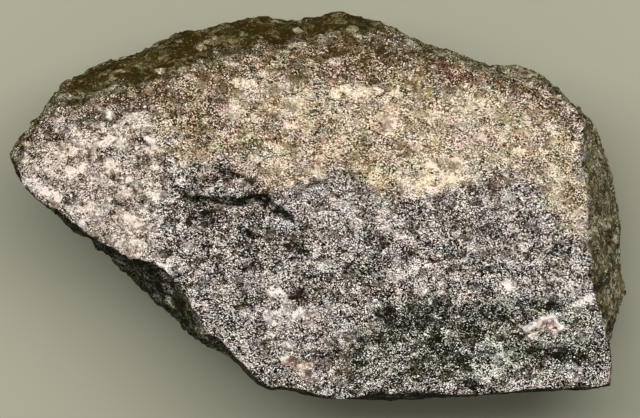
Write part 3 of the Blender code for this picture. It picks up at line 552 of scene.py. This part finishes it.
def carve(piece, relief):
    """Moves the points of the fine mesh and writes the marks that the material reads."""
    mesh = piece.data
    points, normals = read_points(mesh)
    upward = smooth_rise(normals[:, 2], 0.48, 0.66)
    grip = smooth_rise(points[:, 2], 0.0, 3.0)
    plan = points[:, :2] - FACE_MIDDLE
    stray = np.stack([layered_noise(points, 1.4, 11), layered_noise(points, 1.4, 21)], axis=1)
    torn = plan + stray * 0.22
    ragged = layered_noise(points, 1.1, 31)
    wide = layered_noise(points, 5.0, 41)

    # A ground is full well inside its edge and gone outside it, and its edge is frayed by the noise.
    within = -ring_gap(torn + stray * 0.3, LIMONITE_EDGE) + ragged * 0.8 + wide
    limonite = smooth_rise(within, -1.6, 2.4) * upward
    # The haze and the olive skin carry painted shade of the top rim as well as their tints.
    haze_and_shade = smooth_rise(-ring_gap(torn + stray * 0.5, HAZE_AND_SHADE_EDGE) + ragged * 0.8 + wide * 0.8, -2.0, 2.0)
    olive_and_shade = smooth_rise(-ring_gap(torn + stray * 0.3, OLIVE_AND_SHADE_EDGE) + ragged * 0.8, -1.6, 2.0)
    milky = smooth_rise(-ring_gap(torn, MILKY_EDGE) + ragged * 0.8, -1.5, 1.8) * upward
    chip_gap, chip_share = line_gap(plan + stray * 0.07, CHIP_EDGE)
    chip_end = (chip_share > 0) & (chip_share < 1)
    chip = smooth_rise(chip_gap, -0.05, 0.1) * (1 - smooth_rise(chip_gap + ragged * 0.5, 1.6, 3.2)) * chip_end
    # The chip's rim, a painted highlight along the upper edge that faces the lamp, is widest at its left tip.
    tip = 0.7 * (1 - smooth_rise(chip_share, 0.1, 0.5))
    chip_rim_highlight = chip * (1 - smooth_rise(chip_gap + ragged * 0.1 - tip, 0.4, 0.75))
    milky = np.maximum(milky, chip)
    chlorite = smooth_rise(-ring_gap(torn, CHLORITE_EDGE) + ragged * 0.9, -1.0, 1.6) * upward * (1 - chip)
    pale = spots(torn, PALE_SPOTS, ragged, 0.8, 1.15) * upward
    flake = np.zeros(len(points))
    flake_tone = np.zeros(len(points))
    for ring, paler, edge in PALE_FLAKES:
        gap = -ring_gap(plan + stray * 0.12, ring)
        inside = smooth_rise(gap, -0.1, 0.15) * upward
        flake = np.maximum(flake, inside)
        flake_tone += inside * (paler + edge * (1 - smooth_rise(gap + ragged * 0.1, 0.15, 0.5)))
    dark = spots(torn, DARK_SPOTS, ragged) * upward
    iron = spots(torn, IRON_SPOTS, ragged) * upward
    broad = spots(torn, DARK_GROUND_AND_EDGE_SHADE + PALE_GROUND, ragged, *BROAD)

    red = spots(torn, [row[:6] for row in HUE_SPOTS], ragged, *BROAD)
    yellow = spots(torn, [(*row[:5], row[6]) for row in HUE_SPOTS], ragged, *BROAD)
    chip_swell = smooth_rise(chip_gap, -0.3, 0.8) * (1 - smooth_rise(chip_gap, 0.9, 3.0)) * chip_end
    # The chip is a little redder, and its painted highlight rim whiter.
    red += chip * 0.012 - chip_rim_highlight * 0.035
    yellow -= chip * 0.01 + chip_rim_highlight * 0.035
    # The undercut lower sides are painted dark as far as they show from above: painted shade.
    undercut_shade = (1 - upward) * smooth_rise(-normals[:, 1], 0.05, 0.5) * smooth_rise(normals[:, 2], -0.35, -0.05)

    drop = np.zeros(len(points))
    painted_shade = np.zeros(len(points))
    for line, depth, climb, strength in CRACKS:
        gap, share = line_gap(torn, line)
        ends = smooth_rise(np.minimum(share, 1 - share), 0.0, 0.12)
        ends = np.where((share <= 0) | (share >= 1), 0, ends)
        fall = smooth_rise(gap, -0.12, 0.16) * (1 - smooth_rise(gap, 0.25, climb))
        drop = np.maximum(drop, fall * depth * ends)
        # A band of painted shade just below the crack line.
        band = smooth_rise(gap, -0.2, 0.1) * (1 - smooth_rise(gap, 0.3, 0.3 + climb * 0.5))
        painted_shade = np.maximum(painted_shade, band * strength * ends * (0.85 + 0.5 * ragged))
    drop *= upward
    # Painted shade in the cracks and on the undercut sides.
    painted_shade = np.maximum(painted_shade * upward, undercut_shade * (0.9 + 0.2 * ragged))

    gain = upward * (0.9 + 1.2 * milky - 0.2 * limonite) + (1 - upward) * relief.side_gain
    height = np.zeros(len(points))
    for number, (size, lean) in enumerate(zip(relief.chip_sizes, relief.chip_leans)):
        bent = points + layered_noise(points, size / MM, 5)[:, None] * 0.2
        height += chip_height(bent, size / MM, lean, 100 * (number + 1))
    height += layered_noise(points, 0.9, 61, 2) * 0.05
    # The lower edge is broken straight.
    height *= gain * (1 - 0.65 * smooth_rise(-plan[:, 1], 22.0, 25.0))
    # Raised places are paler and hollows darker: partly crushed quartz on the ridges, partly painted light
    # and shade that follow the relief.
    crush_and_relief_shade = np.clip(height, -0.3, 0.3) * (0.26 + 0.14 * milky) * upward
    height += np.minimum(pale + flake, 1.2) * 0.12 + chip_swell * 0.3
    points = points + normals * (height * grip)[:, None]
    points[:, 2] -= drop
    points[:, 2] = np.maximum(points[:, 2], 0)
    write_points(mesh, points)

    tone = crush_and_relief_shade + broad * (1 - 0.7 * (1 - upward)) + pale * 0.34 - dark * 0.2
    # The painted shade darkens the tone, most where it is strongest.
    tone -= np.minimum(painted_shade, 1) * 0.04 + np.maximum(painted_shade - 1, 0) * 0.12
    # On the flakes this painted relief light and shade, with the crush, takes the place of the ground's tone.
    tone += (crush_and_relief_shade * 0.6 - tone) * flake + flake_tone
    # The chip's rim gets a painted highlight.
    tone += (0.02 - tone) * chip + chip_rim_highlight * 0.45
    # More painted shade on the undercut sides along the lower edge.
    tone -= undercut_shade * 0.08 * smooth_rise(-plan[:, 1], 24.0, 27.0)
    calm = np.maximum(pale * 0.8, flake * 0.65) + chip_rim_highlight * 0.5 + chip * 0.6
    calm = np.clip(calm + spots(plan, CALM_GROUND, ragged, *BROAD), 0, 1)
    # The rind covers every face not turned up; its darkness is partly painted shade.
    values = (limonite, milky, haze_and_shade, olive_and_shade, chlorite, 1 - upward, np.clip(iron, 0, 1),
              np.clip(painted_shade, 0, 1), calm, tone, red, yellow)
    for name, value in zip(MARKS, values):
        write_mark(mesh, name, value)



def add_node(tree, kind, inputs=None, **settings):
    """Adds a node with its settings.

    Inputs are by name or number: a value, another node's output, or a node for its first output.
    """
    made = tree.nodes.new(kind)
    for name, value in settings.items():
        setattr(made, name, value)
    for key, value in (inputs or {}).items():
        if isinstance(value, bpy.types.Node):
            value = next(output for output in value.outputs if output.enabled)
        if isinstance(value, bpy.types.NodeSocket):
            tree.links.new(value, made.inputs[key])
        else:
            made.inputs[key].default_value = value
    return made


def quartzite_broken(grains, colours):
    """Quartzite, broken by hand and stained by weather: sand grains of quartz in a silica cement.

    Each grain is glassy but broken across, so the eye sees a dense salt and pepper of pale and dark
    grains, smooth on some flakes and lively on others, tinted by iron in the pores, with no gloss.
    Tones are added as the eye sees them, so dark and pale grains of one place keep the same tint.
    The marks also bring painted shade into the cracks, onto the undercut sides and the rim, and painted light
    onto the ridges and the chip's rim.
    """
    material = bpy.data.materials.new("quartzite_broken")
    material.use_nodes = True
    tree = material.node_tree
    tree.nodes.clear()
    add = functools.partial(add_node, tree)
    marks = {name: add("ShaderNodeAttribute", attribute_name=name).outputs["Fac"] for name in MARKS}

    # Millimetres, and the same drawn out along the bedding, so grains and flakes lie lengthwise in it.
    place = add("ShaderNodeTexCoord").outputs["Object"]
    place = add(VECTOR, {0: place, 1: (1 / MM,) * 3}, operation="MULTIPLY")
    sway = add("ShaderNodeTexNoise", {"Vector": place, "Scale": 1.6, "Detail": 2.0}).outputs["Color"]
    bent = add(VECTOR, {0: sway, 1: (0.5, 0.5, 0.5), 2: place}, operation="MULTIPLY_ADD")
    along = add("ShaderNodeVectorRotate", {"Vector": bent, "Angle": grains.bedding}, rotation_type="Z_AXIS")
    along = add(VECTOR, {0: along, 1: (1 / grains.draw, grains.draw, 1.0)}, operation="MULTIPLY")

    # Crumbs and flakes are made of whole grains, so their edges are as ragged as the grains.
    cells = {}
    parts = {}
    bell = {}
    for name, of, width in (
            ("coarse", "", grains.width), ("fine", "", grains.width * grains.fine_width),
            ("crumb", "fine", grains.crumb_width), ("flake", "coarse", grains.flake_width)):
        where = cells[of].outputs["Position"] if of else along
        cells[name] = add("ShaderNodeTexVoronoi", {"Vector": where, "Scale": MM / width})
        parts[name] = add("ShaderNodeSeparateColor", {0: cells[name].outputs["Color"]}).outputs
        if name == "crumb":
            continue
        # Three even lots summed, so middling tones are common and extreme ones rare.
        two = add(MATH, {0: parts[name][0], 1: parts[name][1]}, operation="ADD")
        three = add(MATH, {0: two, 1: parts[name][2]}, operation="ADD")
        bell[name] = add(MATH, {0: three, 1: 2.0, 2: -3.0}, operation="MULTIPLY_ADD")
    coarse_far = add(MATH, {0: cells["coarse"], 1: 2.0}, operation="POWER")
    fine_far = add(MATH, {0: cells["fine"], 1: 2.0}, operation="POWER")

    clouds = {}
    for name, where, width, detail, gain in (
            ("lively", place, grains.flake_width, 1.0, 3.0), ("patch", along, grains.patch_width, 2.0, 6.0),
            ("red", place, grains.hue_width, 1.0, 6.0 * grains.hue_share),
            ("blue", bent, grains.hue_width * 1.3, 1.0, 6.0 * grains.hue_share)):
        drift = add("ShaderNodeTexNoise", {"Vector": where, "Scale": MM / width, "Detail": detail})
        clouds[name] = add(MATH, {0: drift, 1: gain, 2: -gain / 2}, operation="MULTIPLY_ADD")

    # How lively each place is: less on smooth and on crushed flakes.
    crushed = add("ShaderNodeMapRange", {0: bell["flake"], 1: 0.9, 2: 1.3, 3: 0.0, 4: 1.0})
    lively = add("ShaderNodeMapRange", {
        0: parts["flake"][1], 1: 0.0, 2: 1.0, 3: 1 - grains.unevenness, 4: 1 + grains.unevenness})
    lively = add(MATH, {0: clouds["lively"], 1: grains.unevenness, 2: lively}, operation="MULTIPLY_ADD")
    lively = add(MATH, {0: lively, 1: 0.25}, operation="MAXIMUM")
    quiet = add(MATH, {0: crushed, 1: -0.4, 2: 1.0}, operation="MULTIPLY_ADD")
    lively = add(MATH, {0: lively, 1: quiet}, operation="MULTIPLY")

    # The tone of the grains, and that of crumbs, flakes and patches, of which a few are much paler.
    tone = add(MATH, {0: bell["coarse"], 1: grains.coarse_share}, operation="MULTIPLY")
    tone = add(MATH, {0: bell["fine"], 1: grains.fine_share, 2: tone}, operation="MULTIPLY_ADD")
    rims = add(MATH, {0: coarse_far, 1: fine_far}, operation="ADD")
    rims = add(MATH, {0: rims, 1: -grains.rim_share, 2: 0.345 * grains.rim_share}, operation="MULTIPLY_ADD")
    tone = add(MATH, {0: tone, 1: rims}, operation="ADD")
    tone = add(MATH, {0: tone, 1: lively}, operation="MULTIPLY")
    forms = add(MATH, {0: clouds["patch"], 1: grains.patch_share}, operation="MULTIPLY")
    for name, power, gain in (
            ("crumb", 3.0, 3.6 * grains.crumb_share), ("flake", 4.0, 3.8 * grains.flake_share)):
        few = add(MATH, {0: parts[name][0], 1: power}, operation="POWER")
        few = add(MATH, {0: few, 1: gain, 2: -gain / (power + 1)}, operation="MULTIPLY_ADD")
        forms = add(MATH, {0: forms, 1: few}, operation="ADD")
    forms = add(MATH, {0: crushed, 1: grains.crushed_share, 2: forms}, operation="MULTIPLY_ADD")

    # Each kind of ground has its colour and its own share of the contrast of grains and of flakes.
    base = (*colours.fresh, 1.0)
    spread = grains.contrast
    form_spread = grains.contrast
    # The rind, the olive skin and the haze are darkened partly as painted shade, and the crack film is all
    # painted shade.
    for name, shade, calmer, flatter in (
            ("milky", colours.milky, 0.66, 1.3), ("limonite", colours.limonite, 0.63, 0.7),
            ("haze_and_shade", colours.haze_and_shade, 0.58, 0.55), ("chlorite", colours.chlorite, 0.95, 0.85),
            ("iron", colours.iron, 0.8, 0.8), ("rind_and_shade", colours.rind_and_shade, 0.4, 0.8),
            ("olive_and_shade", colours.olive_and_shade, 0.16, 0.6), ("painted_shade", colours.painted_shade, 0.3, 0.5)):
        base = add("ShaderNodeMix", {0: marks[name], 6: base, 7: (*shade, 1.0)}, data_type="RGBA")
        spread = add("ShaderNodeMix", {0: marks[name], 2: spread, 3: calmer * grains.contrast})
        form_spread = add("ShaderNodeMix", {0: marks[name], 2: form_spread, 3: flatter * grains.contrast})
    calm = add(MATH, {0: marks["calm"], 1: -0.78, 2: 1.0}, operation="MULTIPLY_ADD")
    spread = add(MATH, {0: spread, 1: calm}, operation="MULTIPLY")
    swing = add(MATH, {0: forms, 1: form_spread, 2: marks["tone"]}, operation="MULTIPLY_ADD")
    swing = add(MATH, {0: tone, 1: spread, 2: swing}, operation="MULTIPLY_ADD")

    # The tone is held back where it would leave white or black, then added with the hues.
    seen = add("ShaderNodeGamma", {0: base, 1: 1 / 2.2})
    seen_parts = add("ShaderNodeSeparateColor", {0: seen}).outputs
    room = add(MATH, {0: 0.97, 1: seen_parts[0]}, operation="SUBTRACT")
    swing = add(MATH, {0: swing, 1: room}, operation="MINIMUM")
    room = add(MATH, {0: 0.05, 1: seen_parts[2]}, operation="SUBTRACT")
    swing = add(MATH, {0: swing, 1: room}, operation="MAXIMUM")
    stained = add(MATH, {0: marks["limonite"], 1: 0.6, 2: 1.0}, operation="MULTIPLY_ADD")
    red = add(MATH, {0: clouds["red"], 1: stained, 2: marks["red"]}, operation="MULTIPLY_ADD")
    red = add(MATH, {0: swing, 1: red}, operation="ADD")
    blue = add(MATH, {0: clouds["blue"], 1: stained, 2: swing}, operation="MULTIPLY_ADD")
    blue = add(MATH, {0: blue, 1: marks["yellow"]}, operation="SUBTRACT")
    shift = add("ShaderNodeCombineXYZ", {0: red, 1: swing, 2: blue})
    seen = add(VECTOR, {0: seen, 1: shift}, operation="ADD")
    seen = add(VECTOR, {0: seen, 1: (0.04, 0.04, 0.04)}, operation="MAXIMUM")
    lit = add("ShaderNodeGamma", {0: seen, 1: 2.2})

    dome = add(MATH, {0: parts["coarse"][0], 1: 0.8}, operation="MULTIPLY")
    dome = add(MATH, {0: coarse_far, 1: -1.0, 2: dome}, operation="MULTIPLY_ADD")
    dome = add(MATH, {0: fine_far, 1: -0.5, 2: dome}, operation="MULTIPLY_ADD")
    bump = add("ShaderNodeBump", {"Height": dome, "Strength": 1.0, "Distance": grains.bump})
    rough = add("ShaderNodeMapRange", {0: parts["fine"][0], 1: 0.0, 2: 1.0, 3: 0.45, 4: 0.95})
    skin = add("ShaderNodeBsdfPrincipled", {
        "Base Color": lit, "Roughness": rough, "Normal": bump, "IOR": 1.54,
        "Specular IOR Level": grains.glint})
    add("ShaderNodeOutputMaterial", {0: skin})
    return material


def matt_card(colour):
    """Matt painted card, rolled on, so the eye sees one even tone that takes soft shadows."""
    material = bpy.data.materials.new("matt_card")
    material.use_nodes = True
    tree = material.node_tree
    tree.nodes.clear()
    place = add_node(tree, "ShaderNodeTexCoord").outputs["Object"]
    cloud = add_node(tree, "ShaderNodeTexNoise", {"Vector": place, "Scale": 40.0, "Detail": 3.0})
    dark = (*[part * 0.98 for part in colour], 1.0)
    pale = (*[part * 1.02 for part in colour], 1.0)
    shade = add_node(tree, "ShaderNodeMix", {0: cloud, 6: dark, 7: pale}, data_type="RGBA")
    skin = add_node(tree, "ShaderNodeBsdfPrincipled", {"Base Color": shade, "Roughness": 0.95})
    add_node(tree, "ShaderNodeOutputMaterial", {0: skin})
    return material


class QUARTZITE_OT_stone(bpy.types.Operator):
    """Makes the broken stone from its solid"""

    bl_idname = "quartzite.stone"
    bl_label = "Broken stone"

    def execute(self, context):
        relief = context.scene.quartzite_relief
        piece = fine_copy(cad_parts["stone"], relief.crease_from)
        carve(piece, relief)
        piece.data.materials.clear()
        scene = context.scene
        piece.data.materials.append(quartzite_broken(scene.quartzite_grains, scene.quartzite_colours))
        piece.data.shade_smooth()
        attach(piece, "root")
        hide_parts("stone")
        return {"FINISHED"}


class QUARTZITE_OT_stage(bpy.types.Operator):
    """Lays the floor and sets the lamp and the camera"""

    bl_idname = "quartzite.stage"
    bl_label = "Floor, lamp and camera"

    def execute(self, context):
        stage = context.scene.quartzite_stage
        lay_floor(stage)
        light_stone(stage)
        aim_camera(context.scene)
        return {"FINISHED"}


def lay_floor(stage):
    """A wide flat floor under the stone."""
    half = 5.0
    corners = [(-half, -half, 0), (half, -half, 0), (half, half, 0), (-half, half, 0)]
    mesh = bpy.data.meshes.new("floor")
    mesh.from_pydata(corners, [], [(0, 1, 2, 3)])
    mesh.materials.append(matt_card(stage.floor))
    floor = bpy.data.objects.new("floor", mesh)
    bpy.context.scene.collection.objects.link(floor)


def light_stone(stage):
    """A long lamp beyond the top of the picture, and a little light from everywhere."""
    lamp = bpy.data.lights.new("long lamp", "AREA")
    lamp.shape = "RECTANGLE"
    lamp.size = stage.key_length
    lamp.size_y = stage.key_width
    lamp.energy = stage.key_power
    lamp.color = (1.0, 0.985, 0.965)
    held = bpy.data.objects.new("long lamp", lamp)
    reach = stage.key_distance
    held.location = (0, reach * math.cos(stage.key_height), reach * math.sin(stage.key_height))
    held.rotation_euler = (stage.key_height - math.pi / 2, 0, 0)
    held.visible_camera = False
    bpy.context.scene.collection.objects.link(held)
    world = bpy.data.worlds.new("room")
    world.use_nodes = True
    tree = world.node_tree
    tree.nodes.clear()
    add = functools.partial(add_node, tree)
    way = add("ShaderNodeTexCoord").outputs["Generated"]
    up = add("ShaderNodeSeparateXYZ", {0: way}).outputs[2]
    bright = (0.0, math.cos(stage.sky_height), math.sin(stage.sky_height))
    toward = add(VECTOR, {0: way, 1: bright}, operation="DOT_PRODUCT")
    toward = add("ShaderNodeMapRange", {0: toward, 1: -0.6, 2: 1.0, 3: 0.0, 4: 1.0})
    toward = add(MATH, {0: toward, 1: stage.sky_narrow}, operation="POWER")
    toward = add(MATH, {0: toward, 1: stage.fill}, operation="MULTIPLY")
    sky = add(VECTOR, {0: (1.0, 1.0, 0.97), 3: toward}, operation="SCALE")
    share = add("ShaderNodeMapRange", {0: up, 1: 0.0, 2: 0.05, 3: 1.0, 4: 0.0})
    shade = add("ShaderNodeMix", {0: share, 6: sky, 7: (*stage.floor, 1.0)}, data_type="RGBA")
    back = add("ShaderNodeBackground", {"Color": shade, "Strength": 1.0})
    add("ShaderNodeOutputWorld", {0: back})
    bpy.context.scene.world = world


def aim_camera(scene):
    """A long lens straight above the face, as the photograph was taken."""
    eye = bpy.data.cameras.new("camera")
    eye.lens = 1000
    eye.sensor_width = 36
    # The picture is 102.4 mm wide at the height of the broken face, 36 mm up.
    field = 102.4 * MM
    face_height = 36 * MM
    high = field / 2 * eye.lens / (eye.sensor_width / 2)
    eye.clip_start = 0.1
    eye.clip_end = 10.0
    held = bpy.data.objects.new("camera", eye)
    held.location = (FACE_MIDDLE[0] * MM, FACE_MIDDLE[1] * MM, face_height + high)
    scene.collection.objects.link(held)
    scene.camera = held
    scene.view_settings.view_transform = "Standard"


class QUARTZITE_PT_panel(bpy.types.Panel):
    """Lists the sizes, the colours and the pieces"""

    bl_idname = "QUARTZITE_PT_panel"
    bl_label = "Quartzite"
    bl_space_type = "VIEW_3D"
    bl_region_type = "UI"
    bl_category = "Quartzite"

    def draw(self, context):
        scene = context.scene
        for group in (scene.quartzite_relief, scene.quartzite_grains, scene.quartzite_colours,
                      scene.quartzite_stage):
            box = self.layout.box()
            for name in group.__annotations__:
                box.prop(group, name)
        for maker in (QUARTZITE_OT_stone, QUARTZITE_OT_stage):
            self.layout.operator(maker.bl_idname)


CLASSES = (QuartziteRelief, QuartziteGrains, QuartziteColours, QuartziteStage,
           QUARTZITE_OT_stone, QUARTZITE_OT_stage, QUARTZITE_PT_panel)


def register():
    for item in CLASSES:
        bpy.utils.register_class(item)
    bpy.types.Scene.quartzite_relief = bpy.props.PointerProperty(type=QuartziteRelief)
    bpy.types.Scene.quartzite_grains = bpy.props.PointerProperty(type=QuartziteGrains)
    bpy.types.Scene.quartzite_colours = bpy.props.PointerProperty(type=QuartziteColours)
    bpy.types.Scene.quartzite_stage = bpy.props.PointerProperty(type=QuartziteStage)


def unregister():
    del bpy.types.Scene.quartzite_stage
    del bpy.types.Scene.quartzite_colours
    del bpy.types.Scene.quartzite_grains
    del bpy.types.Scene.quartzite_relief
    for item in reversed(CLASSES):
        bpy.utils.unregister_class(item)


def main():
    """Registers the classes and makes every piece."""
    register()
    bpy.ops.quartzite.stone()
    bpy.ops.quartzite.stage()


if __name__ == "__main__":
    main()
